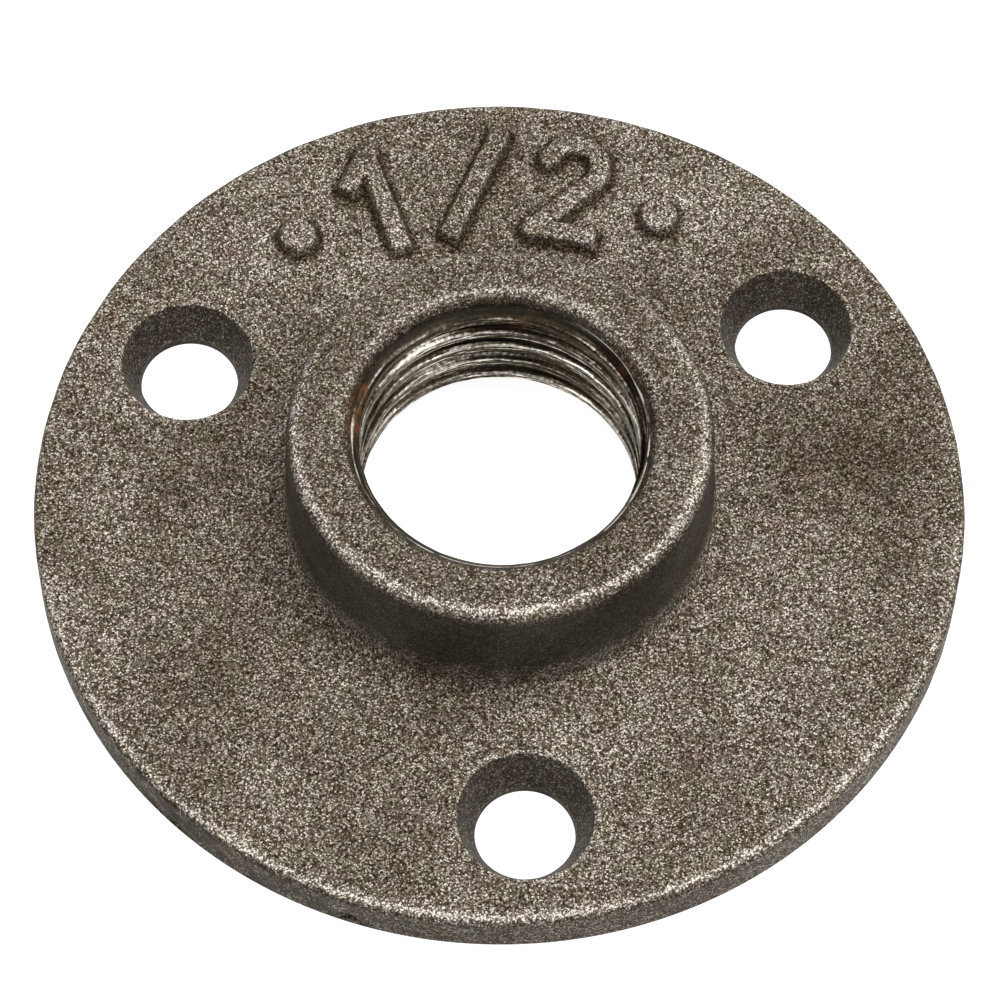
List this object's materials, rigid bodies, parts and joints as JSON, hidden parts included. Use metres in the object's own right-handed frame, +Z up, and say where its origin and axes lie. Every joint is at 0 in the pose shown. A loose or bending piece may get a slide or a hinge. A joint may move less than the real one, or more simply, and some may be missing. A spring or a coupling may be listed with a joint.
{
  "type": "threaded floor flange",
  "caption": "Round cast-iron floor flange: a flat plate with tapered screw holes and a central boss with an internal pipe thread, to fix a pipe's end to a floor or wall.",
  "frame": {"origin": "middle of the plate's flat underside, on the axis of the thread", "axes": "+Z up along the thread, out of the boss; -Y towards the first screw hole, +Y towards the raised mark"},
  "size_m": [0.063, 0.063, 0.0126],
  "materials": {
    "cast_iron": "shot-blasted raw casting, dark in the bore and the screw holes"
  },
  "bodies": {
    "root": {"floor_flange": "cast_iron"}
  },
  "joints": []
}
